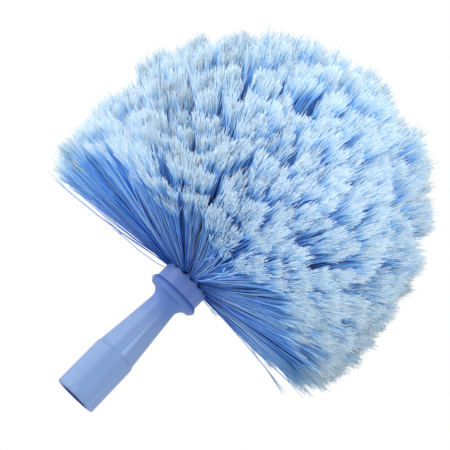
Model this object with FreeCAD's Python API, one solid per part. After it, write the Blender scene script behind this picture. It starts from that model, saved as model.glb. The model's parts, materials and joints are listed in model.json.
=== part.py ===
import FreeCAD, Part

import math
import os

# Cobweb brush head in millimetres. The origin is the centre of the socket's mouth,
# and +Z runs up the socket's axis to the crown of the bristles. Angles are in degrees.

# Pole and the barrel that takes it
pole_diameter = 19.05
pole_clearance = 0.35
barrel_wall = 3.3
barrel_length = 32.8
barrel_draft = 0.35
bore_depth = 36.0
lip_round = 1.2

# Shoulder, taper and neck
shoulder_length = 2.8
shoulder_step = 1.0
shoulder_round = 4.0
taper_length = 37.3
neck_radius = 8.4
core_wall = 3.0
core_floor = 8.0

# Keel ribs on the taper
rib_total = 3
rib_setback = 1.3
rib_half_width = 5.0
rib_root_depth = 1.2
rib_neck_margin = 3.0

# Flange and its bead
flare_radius = 6.0
rim_rise = 2.2
bead_rise = 2.9
bead_overhang = 1.6

# Tuft dome
dome_radius = 14.5
dome_wall = 3.5
cup_height = 6.9
spigot_height = 3.0
spigot_clearance = 0.1

# Tuft holes, with angles seen from the dome's centre
tuft_pitch = 23.3
lowest_polar = 72.0
hole_web = 0.87
mouth_sink = 0.9

# Tuft roots and drawing wires
root_clearance = 0.1
root_reach = 2.0
wire_diameter = 0.9
wire_seat_gap = 0.15
wire_hole_clearance = 0.1
crown_wire_length = 5.0

# Free bristle
spread_radius = 103.0
crown_length = 146.5
tuft_spread = 15.0
tuft_gap = 2.0
splay_clearance = 0.3

# Locks that a tuft parts into at its tips, round one in the middle
lock_total = 6
lock_lean = 9.3
lock_spread = 5.7
lock_round = 8.0
lock_stagger = 4.0
lock_trim = 2.0
lock_depth = 12.0
lock_hold = 18.0

# Radii and heights that follow from the sizes above
bore_radius = (pole_diameter + pole_clearance) / 2
barrel_radius = bore_radius + barrel_wall
mouth_radius = barrel_radius + barrel_draft
taper_base_radius = barrel_radius - shoulder_step
taper_base = barrel_length + shoulder_length
neck_height = taper_base + taper_length
flange_underside = neck_height + flare_radius
rim_height = flange_underside + rim_rise
rim_radius = dome_radius + bead_overhang
flange_top = rim_height + bead_rise
bead_radius = (bead_overhang**2 + bead_rise**2) / (2 * bead_overhang)
dome_inner_radius = dome_radius - dome_wall
dome_centre = flange_top + cup_height
hole_radius = dome_inner_radius * math.sin(math.radians(tuft_pitch / 2)) - hole_web / 2
pivot_radius = hole_radius - splay_clearance
wire_radius = wire_diameter / 2
wire_circle = dome_inner_radius - wire_seat_gap - wire_radius
crown_reach = dome_radius + crown_length
round_height = dome_centre + crown_reach - spread_radius

ORIGIN = FreeCAD.Vector(0, 0, 0)
SIDEWAYS = FreeCAD.Vector(0, 1, 0)
UP = FreeCAD.Vector(0, 0, 1)


def sine(angle):
    return math.sin(math.radians(angle))


def cosine(angle):
    return math.cos(math.radians(angle))


def at(radius, height):
    """A point of a profile that is turned about the Z axis."""
    return FreeCAD.Vector(radius, 0, height)


def line(start, end):
    return Part.LineSegment(start, end).toShape()


def arc(centre, radius, start, end):
    """Arc of a profile, with angles counted from the outward direction."""
    angles = (start, (start + end) / 2, end)
    points = [centre + at(radius * cosine(angle), radius * sine(angle)) for angle in angles]
    return Part.Arc(*points).toShape()


def rounded_corner(before, corner, after, radius):
    """Arc that rounds a corner of a profile, held to half of the shorter run beside it."""
    back, onward = before - corner, after - corner
    half_angle = back.getAngle(onward) / 2
    reach = min(radius / math.tan(half_angle), back.Length / 2, onward.Length / 2)
    back, onward = back.normalize(), onward.normalize()
    middle = corner + (back + onward).normalize() * (reach * (1 - math.sin(half_angle)) / math.cos(half_angle))
    return Part.Arc(corner + back * reach, middle, corner + onward * reach).toShape()


def turned(edges):
    """Solid of revolution about Z from the edges of a closed half profile."""
    face = Part.Face(Part.Wire(edges))
    return face.revolve(ORIGIN, UP, 360)


def bearing_copy(shape, bearing):
    """Copy of a shape, turned about the Z axis."""
    copy = shape.copy()
    copy.rotate(ORIGIN, UP, bearing)
    return copy


def leant_copy(shape, polar):
    """Copy of a shape on +Z, moved so that its origin is the dome's centre and leant from the crown."""
    copy = shape.copy()
    copy.translate(at(0, dome_centre))
    copy.rotate(at(0, dome_centre), SIDEWAYS, polar)
    return copy


def taper_radius(height):
    """Outside radius of the taper at a height."""
    share = (height - taper_base) / taper_length
    return taper_base_radius + share * (neck_radius - taper_base_radius)


def keel_rib():
    """Rib that stands flush with the barrel at the shoulder and runs out at the neck."""
    foot = barrel_length + rib_setback
    tip = neck_height - rib_neck_margin
    inner = taper_base_radius - rib_root_depth
    crest = FreeCAD.Vector(barrel_radius, 0, foot)
    left = FreeCAD.Vector(inner, rib_half_width, foot)
    right = FreeCAD.Vector(inner, -rib_half_width, foot)
    end = at(taper_radius(tip), tip)
    sides = ((crest, left, right), (crest, left, end), (left, right, end), (right, crest, end))
    faces = [Part.Face(Part.makePolygon([*corners, corners[0]])) for corners in sides]
    return Part.Solid(Part.Shell(faces))


def pole_socket():
    """Barrel, ribbed taper, neck, beaded flange and the spigot that closes the dome."""
    core_top = flange_top - core_floor
    core_base_radius = taper_radius(max(bore_depth, taper_base)) - core_wall
    core_tip_radius = taper_radius(min(core_top, neck_height)) - core_wall
    spigot_radius = dome_inner_radius - spigot_clearance
    spigot_top = flange_top + spigot_height
    flare_outer_radius = neck_radius + flare_radius
    bead_sweep = math.degrees(math.asin(bead_rise / bead_radius))
    lip, neck = at(mouth_radius, lip_round), at(neck_radius, neck_height)
    shoulder, foot = at(barrel_radius, barrel_length), at(taper_base_radius, taper_base)
    shoulder_arc = rounded_corner(lip, shoulder, foot, shoulder_round)
    foot_arc = rounded_corner(shoulder, foot, neck, shoulder_round)
    edges = [
        line(at(bore_radius, 0), at(mouth_radius - lip_round, 0)),
        arc(at(mouth_radius - lip_round, lip_round), lip_round, -90, 0),
        line(lip, shoulder_arc.firstVertex().Point),
        shoulder_arc,
        line(shoulder_arc.lastVertex().Point, foot_arc.firstVertex().Point),
        foot_arc,
        line(foot_arc.lastVertex().Point, neck),
        arc(at(flare_outer_radius, neck_height), flare_radius, 180, 90),
        line(at(flare_outer_radius, flange_underside), at(rim_radius, rim_height)),
        arc(at(rim_radius - bead_radius, rim_height), bead_radius, 0, bead_sweep),
        line(at(dome_radius, flange_top), at(spigot_radius, flange_top)),
        line(at(spigot_radius, flange_top), at(spigot_radius, spigot_top)),
        line(at(spigot_radius, spigot_top), at(0, spigot_top)),
        line(at(0, spigot_top), at(0, core_top)),
        line(at(0, core_top), at(core_tip_radius, core_top)),
        line(at(core_tip_radius, core_top), at(core_base_radius, bore_depth)),
        line(at(core_base_radius, bore_depth), at(bore_radius, bore_depth)),
        line(at(bore_radius, bore_depth), at(bore_radius, 0)),
    ]
    rib = keel_rib()
    ribs = [bearing_copy(rib, 360 / rib_total * step) for step in range(rib_total)]
    return turned(edges).multiFuse(ribs).removeSplitter()


def direction(polar, bearing):
    """Unit vector that leans from the crown towards a bearing."""
    return FreeCAD.Vector(sine(polar) * cosine(bearing), sine(polar) * sine(bearing), cosine(polar))


def tuft_rings():
    """Angle from the crown and number of tufts of each ring, from the top down."""
    total = int(lowest_polar / tuft_pitch)
    rings = []
    for ring in range(1, total + 1):
        polar = lowest_polar * ring / total
        half_step = math.asin(sine(tuft_pitch / 2) / sine(polar))
        rings.append((polar, int(math.pi / half_step)))
    return rings


def bearings(count):
    """Bearings of the evenly spaced tufts of one ring."""
    return [360 / count * place for place in range(count)]


def tuft_dome(rings):
    """Hollow dome on a short cup, with a sunk-mouthed hole for each tuft."""
    shell = turned(
        [
            line(at(dome_inner_radius, flange_top), at(dome_radius, flange_top)),
            line(at(dome_radius, flange_top), at(dome_radius, dome_centre)),
            arc(at(0, dome_centre), dome_radius, 0, 90),
            line(at(0, dome_centre + dome_radius), at(0, dome_centre + dome_inner_radius)),
            arc(at(0, dome_centre), dome_inner_radius, 90, 0),
            line(at(dome_inner_radius, dome_centre), at(dome_inner_radius, flange_top)),
        ]
    )
    drill = Part.makeCylinder(hole_radius, 3 * dome_wall, at(0, dome_inner_radius - dome_wall))
    sink_radius = hole_radius + 2 * mouth_sink
    sink = Part.makeCone(hole_radius, sink_radius, 2 * mouth_sink, at(0, dome_radius - mouth_sink))
    cutter = drill.fuse(sink)
    cutters = [leant_copy(cutter, 0)]
    for polar, count in rings:
        leant = leant_copy(cutter, polar)
        cutters += [bearing_copy(leant, bearing) for bearing in bearings(count)]
    return shell.cut(cutters)


def ring_wire(polar, radius):
    """Closed wire ring behind one ring of holes."""
    height = dome_centre + wire_circle * cosine(polar)
    return Part.makeTorus(wire_circle * sine(polar), radius, at(0, height), UP)


def crown_wire(radius, bearing):
    """Straight wire through the crown tuft's fold, lying between two tufts of the first ring."""
    along = FreeCAD.Vector(cosine(bearing), sine(bearing), 0)
    half_length = crown_wire_length / 2
    clear_height = math.sqrt((dome_inner_radius - wire_seat_gap) ** 2 - half_length**2)
    start = at(0, dome_centre + clear_height - wire_radius) - along * half_length
    return Part.makeCylinder(radius, crown_wire_length, start, along)


def tuft_roots(rings, crown_bearing):
    """Folded inner end of each tuft, pierced for the wire that locks it."""
    radius = hole_radius - root_clearance
    inner = dome_inner_radius - root_reach
    outer = dome_radius - pivot_radius - splay_clearance
    wire_hole = wire_radius + wire_hole_clearance
    root = turned(
        [
            arc(at(0, inner + radius), radius, -90, 0),
            line(at(radius, inner + radius), at(radius, outer)),
            line(at(radius, outer), at(0, outer)),
            line(at(0, outer), at(0, inner)),
        ]
    )
    roots = [leant_copy(root, 0).cut(crown_wire(wire_hole, crown_bearing))]
    for polar, count in rings:
        pierced = leant_copy(root, polar).cut(ring_wire(polar, wire_hole))
        roots += [bearing_copy(pierced, bearing) for bearing in bearings(count)]
    return Part.makeCompound(roots)


def bristle_envelope(depth):
    """A hemisphere on straight sides, at a depth below the shape that the bristle tips are trimmed to."""
    radius = spread_radius - depth
    sides = Part.makeCylinder(radius, round_height)
    return sides.fuse(Part.makeSphere(radius, at(0, round_height)))


def levelled(vector):
    """A vector without its height."""
    return FreeCAD.Vector(vector.x, vector.y, 0)


def run_to_spread(offset, heading):
    """Distance along a heading from an offset to the spread radius about the place it is offset from."""
    square = heading.dot(heading)
    half = offset.dot(heading) / square
    return math.sqrt(half**2 + (spread_radius**2 - offset.dot(offset)) / square) - half


def bristle_length(pivot, heading):
    """Length of a straight bristle from its pivot to the shape that the tips are trimmed to."""
    length = run_to_spread(pivot - at(0, round_height), heading)
    if (pivot + heading * length).z < round_height:
        length = run_to_spread(levelled(pivot), levelled(heading))
    return length


def tuft_core():
    """Untrimmed tuft above the dome's centre: a rounded root that widens into a cone."""
    end_height = crown_reach + spread_radius
    end_radius = pivot_radius + math.tan(math.radians(tuft_spread)) * (end_height - dome_radius)
    return turned(
        [
            arc(at(0, dome_radius), pivot_radius, -90, 0),
            line(at(pivot_radius, dome_radius), at(end_radius, end_height)),
            line(at(end_radius, end_height), at(0, end_height)),
            line(at(0, end_height), at(0, dome_radius - pivot_radius)),
        ]
    )


def lock(length):
    """Round-ended lock of bristle that widens along +Z from a tuft's pivot, and starts inside the core."""
    widening = math.tan(math.radians(lock_spread))
    foot = length - lock_depth - lock_hold
    shoulder = length - lock_round
    shoulder_radius = shoulder * widening
    end_radius = (shoulder_radius**2 + lock_round**2) / (2 * lock_round)
    end_sweep = math.degrees(math.asin(1 - lock_round / end_radius))
    return turned(
        [
            line(at(0, foot), at(foot * widening, foot)),
            line(at(foot * widening, foot), at(shoulder_radius, shoulder)),
            arc(at(0, length - end_radius), end_radius, end_sweep, 90),
            line(at(0, length), at(0, foot)),
        ]
    )


def free_tuft(polar):
    """Tuft at an angle from the crown: a core that parts into trimmed locks, every other one of them shorter."""
    pivot = at(0, dome_centre) + direction(polar, 0) * dome_radius
    headings = [(0, 0, 0)]
    headings += [(lock_lean, bearing, place % 2) for place, bearing in enumerate(bearings(lock_total))]
    locks = []
    for lean, bearing, short in headings:
        turn = FreeCAD.Rotation(UP, bearing) * FreeCAD.Rotation(SIDEWAYS, lean)
        turn = FreeCAD.Rotation(SIDEWAYS, polar) * turn
        length = bristle_length(pivot, turn.multVec(UP)) + lock_trim - lock_stagger * short
        locks.append(lock(length))
        locks[-1].Placement = FreeCAD.Placement(pivot, turn)
    core = leant_copy(tuft_core(), polar).common(bristle_envelope(lock_depth))
    return core.multiFuse(locks).common(bristle_envelope(0))


def neighbour_side(own, other):
    """Block that fills the half of space nearer to another tuft, and half the gap to it."""
    size = 4 * crown_reach
    normal = (other - own).normalize()
    block = Part.makeBox(size, size, size, FreeCAD.Vector(-size / 2, -size / 2, 0))
    corner = at(0, dome_centre) - normal * (tuft_gap / 2)
    block.Placement = FreeCAD.Placement(corner, FreeCAD.Rotation(UP, normal))
    return block


def free_tufts(rings):
    """Name and solid of each tuft, which its neighbours hold to its own share of the head."""
    trimmed = {"tuft_crown": (UP, free_tuft(0))}
    for ring, (polar, count) in enumerate(rings, start=1):
        tuft = free_tuft(polar)
        for place, bearing in enumerate(bearings(count), start=1):
            name = f"tuft_ring_{ring}_{place:02d}"
            trimmed[name] = (direction(polar, bearing), bearing_copy(tuft, bearing))
    reach = math.radians(2 * tuft_spread)
    tufts = {}
    for name, (own, solid) in trimmed.items():
        others = [other for key, (other, _) in trimmed.items() if key != name]
        near = [other for other in others if own.getAngle(other) < reach]
        tufts[name] = solid.cut([neighbour_side(own, other) for other in near])
    return tufts


def all_parts():
    """Every node's name and shape."""
    rings = tuft_rings()
    crown_bearing = 180 / rings[0][1]
    parts = {
        "pole_socket": pole_socket(),
        "tuft_dome": tuft_dome(rings),
        "tuft_roots": tuft_roots(rings, crown_bearing),
        "crown_wire": crown_wire(wire_radius, crown_bearing),
    }
    for ring, (polar, _) in enumerate(rings, start=1):
        parts[f"ring_wire_{ring}"] = ring_wire(polar, wire_radius)
    return parts | free_tufts(rings)


os.makedirs("parts", exist_ok=True)
for node, shape in all_parts().items():
    shape.exportStep(f"parts/{node}.step")
    print(node, "solids", len(shape.Solids), "volume", round(shape.Volume, 1), "valid", shape.isValid())
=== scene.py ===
"""Looks of a cobweb brush: a dome of flagged bristle tufts on a moulded plastic pole socket.

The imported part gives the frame. The socket, the drilled dome, the roots and the wires keep their CAD
shapes and get their finishes here. Each tuft's solid is replaced by the bunch of split-ended filaments
that fills it.
"""
import json
import logging
import math
from dataclasses import dataclass, field
from enum import Enum, IntEnum
from typing import Any, ClassVar, Dict, List, Mapping, Optional, Sequence, Tuple, Union

import bpy
from mathutils import Matrix, Vector

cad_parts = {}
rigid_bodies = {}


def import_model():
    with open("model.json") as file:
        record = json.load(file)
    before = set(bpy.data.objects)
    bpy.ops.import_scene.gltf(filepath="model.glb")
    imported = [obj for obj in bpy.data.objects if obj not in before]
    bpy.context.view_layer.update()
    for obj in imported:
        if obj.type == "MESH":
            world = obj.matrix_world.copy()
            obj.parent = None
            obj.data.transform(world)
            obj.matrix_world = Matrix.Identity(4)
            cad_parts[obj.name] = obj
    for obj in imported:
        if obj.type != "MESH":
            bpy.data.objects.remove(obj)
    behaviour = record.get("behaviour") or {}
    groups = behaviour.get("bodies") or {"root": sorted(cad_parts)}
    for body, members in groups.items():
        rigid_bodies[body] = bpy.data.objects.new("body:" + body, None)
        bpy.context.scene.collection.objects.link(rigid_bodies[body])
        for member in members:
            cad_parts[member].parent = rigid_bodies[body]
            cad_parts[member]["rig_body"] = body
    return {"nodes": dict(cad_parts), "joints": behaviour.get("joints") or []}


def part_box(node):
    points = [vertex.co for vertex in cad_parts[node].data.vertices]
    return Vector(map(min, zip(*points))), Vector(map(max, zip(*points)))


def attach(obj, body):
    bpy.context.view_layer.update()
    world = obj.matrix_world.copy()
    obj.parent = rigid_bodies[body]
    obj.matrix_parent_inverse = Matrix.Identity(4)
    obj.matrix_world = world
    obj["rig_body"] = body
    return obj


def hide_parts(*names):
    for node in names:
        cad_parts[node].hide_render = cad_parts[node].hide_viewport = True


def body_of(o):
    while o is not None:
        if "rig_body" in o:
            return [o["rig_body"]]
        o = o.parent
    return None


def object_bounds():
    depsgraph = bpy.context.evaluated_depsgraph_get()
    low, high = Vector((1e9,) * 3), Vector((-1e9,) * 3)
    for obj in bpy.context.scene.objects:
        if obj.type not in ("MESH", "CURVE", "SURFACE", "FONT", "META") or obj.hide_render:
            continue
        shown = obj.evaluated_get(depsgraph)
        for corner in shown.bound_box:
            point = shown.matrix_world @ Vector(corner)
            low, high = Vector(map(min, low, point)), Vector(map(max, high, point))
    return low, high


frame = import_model()
cad_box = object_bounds()

LOG = logging.getLogger("cobweb_brush")
BRISTLE_MAP = "OFBake"
STRANDS = 64
PLASTIC_IOR = 1.49
UP = (0.0, 0.0, 1.0)
LEVEL = (1.0, 1.0, 0.0)

Number = Union[int, float]
Operand = Union["Wire", Number, Sequence[Number]]
Colour = Tuple[float, float, float, float]
Inputs = Mapping[Union[str, int], Any]


class Slot(Enum):
    """The record's material slots."""

    SOCKET = "socket_plastic"
    DOME = "dome_plastic"
    BRISTLE = "bristle"
    WIRE = "drawing_wire"


class Draw(IntEnum):
    """The random draws of a tuft. Each one's number tells its seed from the others."""

    CLUMPS = 1
    CLUMP_PULL = 2
    CLUMP_LENGTH = 3
    LENGTH = 4
    ROOT = 5
    CLUMP_WAVE = 6
    SWAY = 7
    SPLIT = 8
    STEM_STRAND = 9
    STRAY = 10
    HAIR_SPREAD = 11
    HAIR_LENGTH = 12
    HAIR_STRAND = 14
    CLUMP_LEAN = 15
    STRAY_DROP = 16


def srgb(red: int, green: int, blue: int) -> Colour:
    """Turns a screen colour into the linear one that shaders take.

    Args:
        red: red from 0 to 255.
        green: green from 0 to 255.
        blue: blue from 0 to 255.

    Returns:
        The colour as linear red, green, blue and a full alpha.
    """
    parts = [channel / 255 for channel in (red, green, blue)]
    linear = [part / 12.92 if part <= 0.04045 else ((part + 0.055) / 1.055) ** 2.4 for part in parts]
    return (linear[0], linear[1], linear[2], 1.0)


def level_direction(bearing: float) -> Vector:
    """Points level towards a bearing.

    Args:
        bearing: the angle from +X to +Y, in degrees.

    Returns:
        The unit vector.
    """
    return Vector((math.cos(math.radians(bearing)), math.sin(math.radians(bearing)), 0.0))


def is_vector(operand: Operand) -> bool:
    """Says whether an operand is a vector.

    Args:
        operand: a wire, a number or a vector.

    Returns:
        True for a vector and False for a number.
    """
    if isinstance(operand, Wire):
        return operand.socket.type == "VECTOR"
    return not isinstance(operand, (int, float))


class Wire:
    """An output socket of a node tree. Python's operators on it add the nodes that do the maths."""

    def __init__(self, graph: "NodeGraph", socket: bpy.types.NodeSocket) -> None:
        """Wraps one socket.

        Args:
            graph: the node tree's builder.
            socket: the output socket.
        """
        self.graph = graph
        self.socket = socket

    def __add__(self, other: Operand) -> "Wire":
        """This plus other."""
        return self.graph.maths("ADD", self, other)

    def __radd__(self, other: Operand) -> "Wire":
        """Other plus this."""
        return self.graph.maths("ADD", other, self)

    def __sub__(self, other: Operand) -> "Wire":
        """This less other."""
        return self.graph.maths("SUBTRACT", self, other)

    def __rsub__(self, other: Operand) -> "Wire":
        """Other less this."""
        return self.graph.maths("SUBTRACT", other, self)

    def __mul__(self, other: Operand) -> "Wire":
        """This times other."""
        return self.graph.maths("MULTIPLY", self, other)

    def __rmul__(self, other: Operand) -> "Wire":
        """Other times this."""
        return self.graph.maths("MULTIPLY", other, self)

    def __truediv__(self, other: Operand) -> "Wire":
        """This over other."""
        return self.graph.maths("DIVIDE", self, other)

    def __pow__(self, other: Operand) -> "Wire":
        """This to the power of other."""
        return self.graph.maths("POWER", self, other)

    def __gt__(self, other: Operand) -> "Wire":
        """1 where this is more than other, and 0 elsewhere."""
        return self.graph.maths("GREATER_THAN", self, other)

    def floor(self) -> "Wire":
        """The whole number below this."""
        return self.graph.maths("FLOOR", self)

    def at_least(self, other: Operand) -> "Wire":
        """The larger of this and other."""
        return self.graph.maths("MAXIMUM", self, other)

    def at_most(self, other: Operand) -> "Wire":
        """The smaller of this and other."""
        return self.graph.maths("MINIMUM", self, other)

    def clamped(self) -> "Wire":
        """This, kept between 0 and 1."""
        return self.at_least(0.0).at_most(1.0)

    def dot(self, other: Operand) -> "Wire":
        """The dot product of two vectors."""
        return self.graph.maths("DOT_PRODUCT", self, other)

    def length(self) -> "Wire":
        """The length of a vector."""
        return self.graph.maths("LENGTH", self)

    def unit(self) -> "Wire":
        """The vector at length 1."""
        return self.graph.maths("NORMALIZE", self)


class NodeGraph:
    """Builds the nodes of one tree, of a shader or of a shape."""

    VALUE_RESULTS = ("DOT_PRODUCT", "LENGTH")

    def __init__(self, tree: bpy.types.NodeTree) -> None:
        """Starts on a tree.

        Args:
            tree: the node tree to fill.
        """
        self.tree = tree

    def node(
        self, kind: str, settings: Optional[Mapping[str, Any]] = None, sockets: Optional[Inputs] = None
    ) -> bpy.types.Node:
        """Makes one node.

        Args:
            kind: the node's type.
            settings: its properties, set first. The name stops holds a colour ramp's (place, colour) pairs.
            sockets: values or wires for its inputs, by name or number. A list fills a joining input.

        Returns:
            The node.
        """
        made = self.tree.nodes.new(kind)
        for name, value in (settings or {}).items():
            if name == "stops":
                self._set_stops(made.color_ramp, value)
            else:
                setattr(made, name, value)
        for key, value in (sockets or {}).items():
            socket = made.inputs[key] if isinstance(key, int) else self._named(made.inputs, key)
            for each in value if isinstance(value, list) else [value]:
                if isinstance(each, Wire):
                    self.tree.links.new(each.socket, socket)
                else:
                    socket.default_value = each
        return made

    def wire(
        self,
        kind: str,
        output: str,
        settings: Optional[Mapping[str, Any]] = None,
        sockets: Optional[Inputs] = None,
    ) -> Wire:
        """Makes one node and takes one of its outputs.

        Args:
            kind: the node's type.
            output: the output's name.
            settings: the node's properties.
            sockets: values or wires for its inputs.

        Returns:
            The output.
        """
        return self.out(self.node(kind, settings, sockets), output)

    def out(self, node: bpy.types.Node, name: str) -> Wire:
        """The named output of a node."""
        return Wire(self, self._named(node.outputs, name))

    def maths(self, operation: str, *operands: Operand) -> Wire:
        """Adds the node for one operation.

        Args:
            operation: the operation's name in Math and Vector Math nodes.
            operands: wires, numbers or vectors.

        Returns:
            The result.
        """
        vectors = [is_vector(operand) for operand in operands]
        if not any(vectors):
            return self.wire("ShaderNodeMath", "Value", {"operation": operation}, dict(enumerate(operands)))
        sockets: Dict[Union[str, int], Any] = dict(enumerate(operands))
        if operation == "MULTIPLY" and not all(vectors):
            operation = "SCALE"
            sockets = {0: operands[vectors.index(True)], "Scale": operands[vectors.index(False)]}
        output = "Value" if operation in self.VALUE_RESULTS else "Vector"
        return self.wire("ShaderNodeVectorMath", output, {"operation": operation}, sockets)

    def mix(self, factor: Operand, first: Any, second: Any) -> Wire:
        """Goes from one colour to another.

        Args:
            factor: 0 for the first colour and 1 for the second.
            first: a colour or its wire.
            second: a colour or its wire.

        Returns:
            The mixed colour.
        """
        sockets = {"Factor": factor, "A": first, "B": second}
        return self.wire("ShaderNodeMix", "Result", {"data_type": "RGBA"}, sockets)

    def noise(self, place: Wire, scale: float, detail: float) -> Wire:
        """Smooth noise from about 0 to 1.

        Args:
            place: where it is read.
            scale: how fine it is, in waves to the metre.
            detail: how many finer layers it has.

        Returns:
            The level of the noise.
        """
        sockets = {"Vector": place, "Scale": scale, "Detail": detail}
        return self.wire("ShaderNodeTexNoise", "Fac", None, sockets)

    def rising(self, height: Wire) -> Wire:
        """The vector that points up by a height."""
        return self.wire("ShaderNodeCombineXYZ", "Vector", None, {"Z": height})

    @staticmethod
    def _named(sockets: Sequence[bpy.types.NodeSocket], name: str) -> bpy.types.NodeSocket:
        """The socket of that name that is in use."""
        return next(socket for socket in sockets if socket.name == name and socket.enabled)

    @staticmethod
    def _set_stops(ramp: bpy.types.ColorRamp, stops: Sequence[Tuple[float, Colour]]) -> None:
        """Puts the stops on a colour ramp.

        Args:
            ramp: the ramp of a new node, with its two first stops.
            stops: (place, colour) pairs in order.
        """
        while len(ramp.elements) < len(stops):
            ramp.elements.new(1.0)
        for element, (place, colour) in zip(ramp.elements, stops):
            element.position = place
            element.color = colour


class Finish:
    """A finish that one material holds."""

    name: str

    def material(self) -> bpy.types.Material:
        """Makes the material.

        Returns:
            The material, with its nodes.
        """
        made = bpy.data.materials.new(self.name)
        made.use_nodes = True
        made.node_tree.nodes.clear()
        graph = NodeGraph(made.node_tree)
        surface = graph.node("ShaderNodeBsdfPrincipled", None, self.surface(graph))
        graph.node("ShaderNodeOutputMaterial", None, {"Surface": graph.out(surface, "BSDF")})
        return made

    def surface(self, graph: NodeGraph) -> Inputs:
        """Makes the inputs of the surface's shader.

        Args:
            graph: the material's nodes.

        Returns:
            Values and wires by input name.
        """
        raise NotImplementedError


@dataclass(frozen=True)
class MouldedPlastic(Finish):
    """Glossy moulded plastic with faint flow marks, fine grain and scuffs along the mould's draw.

    Args:
        name: the material's name.
        body: its colour.
        flow: its colour where the melt ran paler.
        scuff_and_highlight: the colour of rubbed marks, and in the socket also of the painted highlight on
            its ribs.
        scuff_height: how far up from the origin the rubbed marks reach, in metres.
        roughness: how rough the clean surface is.
    """

    name: str
    body: Colour
    flow: Colour
    scuff_and_highlight: Colour
    scuff_height: float
    roughness: float

    DRAW_SQUEEZE: ClassVar[Tuple[float, float, float]] = (1.0, 1.0, 0.08)
    FLOW_SCALE: ClassVar[float] = 120.0
    FLOW_DETAIL: ClassVar[float] = 3.0
    FLOW_ROUGHNESS: ClassVar[float] = 0.12
    SCRATCH_SCALE: ClassVar[float] = 900.0
    SCRATCH_LEVEL: ClassVar[float] = 0.58
    SCRATCH_CONTRAST: ClassVar[float] = 9.0
    SCRATCH_DEPTH: ClassVar[float] = 0.5
    GRAIN_SCALE: ClassVar[float] = 2600.0
    FINE_DETAIL: ClassVar[float] = 2.0
    BUMP_STRENGTH: ClassVar[float] = 0.06
    BUMP_HEIGHT: ClassVar[float] = 0.0002
    RUBBED_SHARE: ClassVar[float] = 0.5
    RUBBED_ROUGHNESS: ClassVar[float] = 0.15

    def surface(self, graph: NodeGraph) -> Inputs:
        """Makes the inputs of the surface's shader.

        Args:
            graph: the material's nodes.

        Returns:
            Values and wires by input name.
        """
        place = graph.wire("ShaderNodeTexCoord", "Object")
        squeezed = {"Vector": place, "Scale": self.DRAW_SQUEEZE}
        drawn = graph.wire("ShaderNodeMapping", "Vector", None, squeezed)
        flow = graph.noise(drawn, self.FLOW_SCALE, self.FLOW_DETAIL)
        scratch = graph.noise(drawn, self.SCRATCH_SCALE, self.FINE_DETAIL)
        grain = graph.noise(place, self.GRAIN_SCALE, self.FINE_DETAIL)
        height = graph.wire("ShaderNodeSeparateXYZ", "Z", None, {"Vector": place})
        low = (1 - height / self.scuff_height).clamped()
        rubbed = low * ((scratch - self.SCRATCH_LEVEL) * self.SCRATCH_CONTRAST).clamped()
        plain = graph.mix(flow, self.body, self.flow)
        # In the socket's plastic the walls add painted shade and a painted highlight on the ribs' crests.
        colour, wear_and_highlight = self.walls(graph, plain, rubbed * self.RUBBED_SHARE, place)
        relief = {
            "Strength": self.BUMP_STRENGTH,
            "Distance": self.BUMP_HEIGHT,
            "Height": grain + scratch * self.SCRATCH_DEPTH,
        }
        marked = (flow - 0.5) * self.FLOW_ROUGHNESS
        return {
            "Base Color": graph.mix(wear_and_highlight, colour, self.scuff_and_highlight),
            "Roughness": self.roughness + marked + rubbed * self.RUBBED_ROUGHNESS,
            "Normal": graph.wire("ShaderNodeBump", "Normal", None, relief),
            "IOR": PLASTIC_IOR,
        }

    def walls(self, graph: NodeGraph, plain: Wire, marks: Wire, place: Wire) -> Tuple[Wire, Wire]:
        """Gives the walls their colour and their wear. Here both stay as they come.

        Args:
            graph: the material's nodes.
            plain: the plastic's colour.
            marks: how far it is rubbed, from 0 to 1.
            place: the place on the piece.

        Returns:
            The colour, and how far it is rubbed.
        """
        return plain, marks


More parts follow.
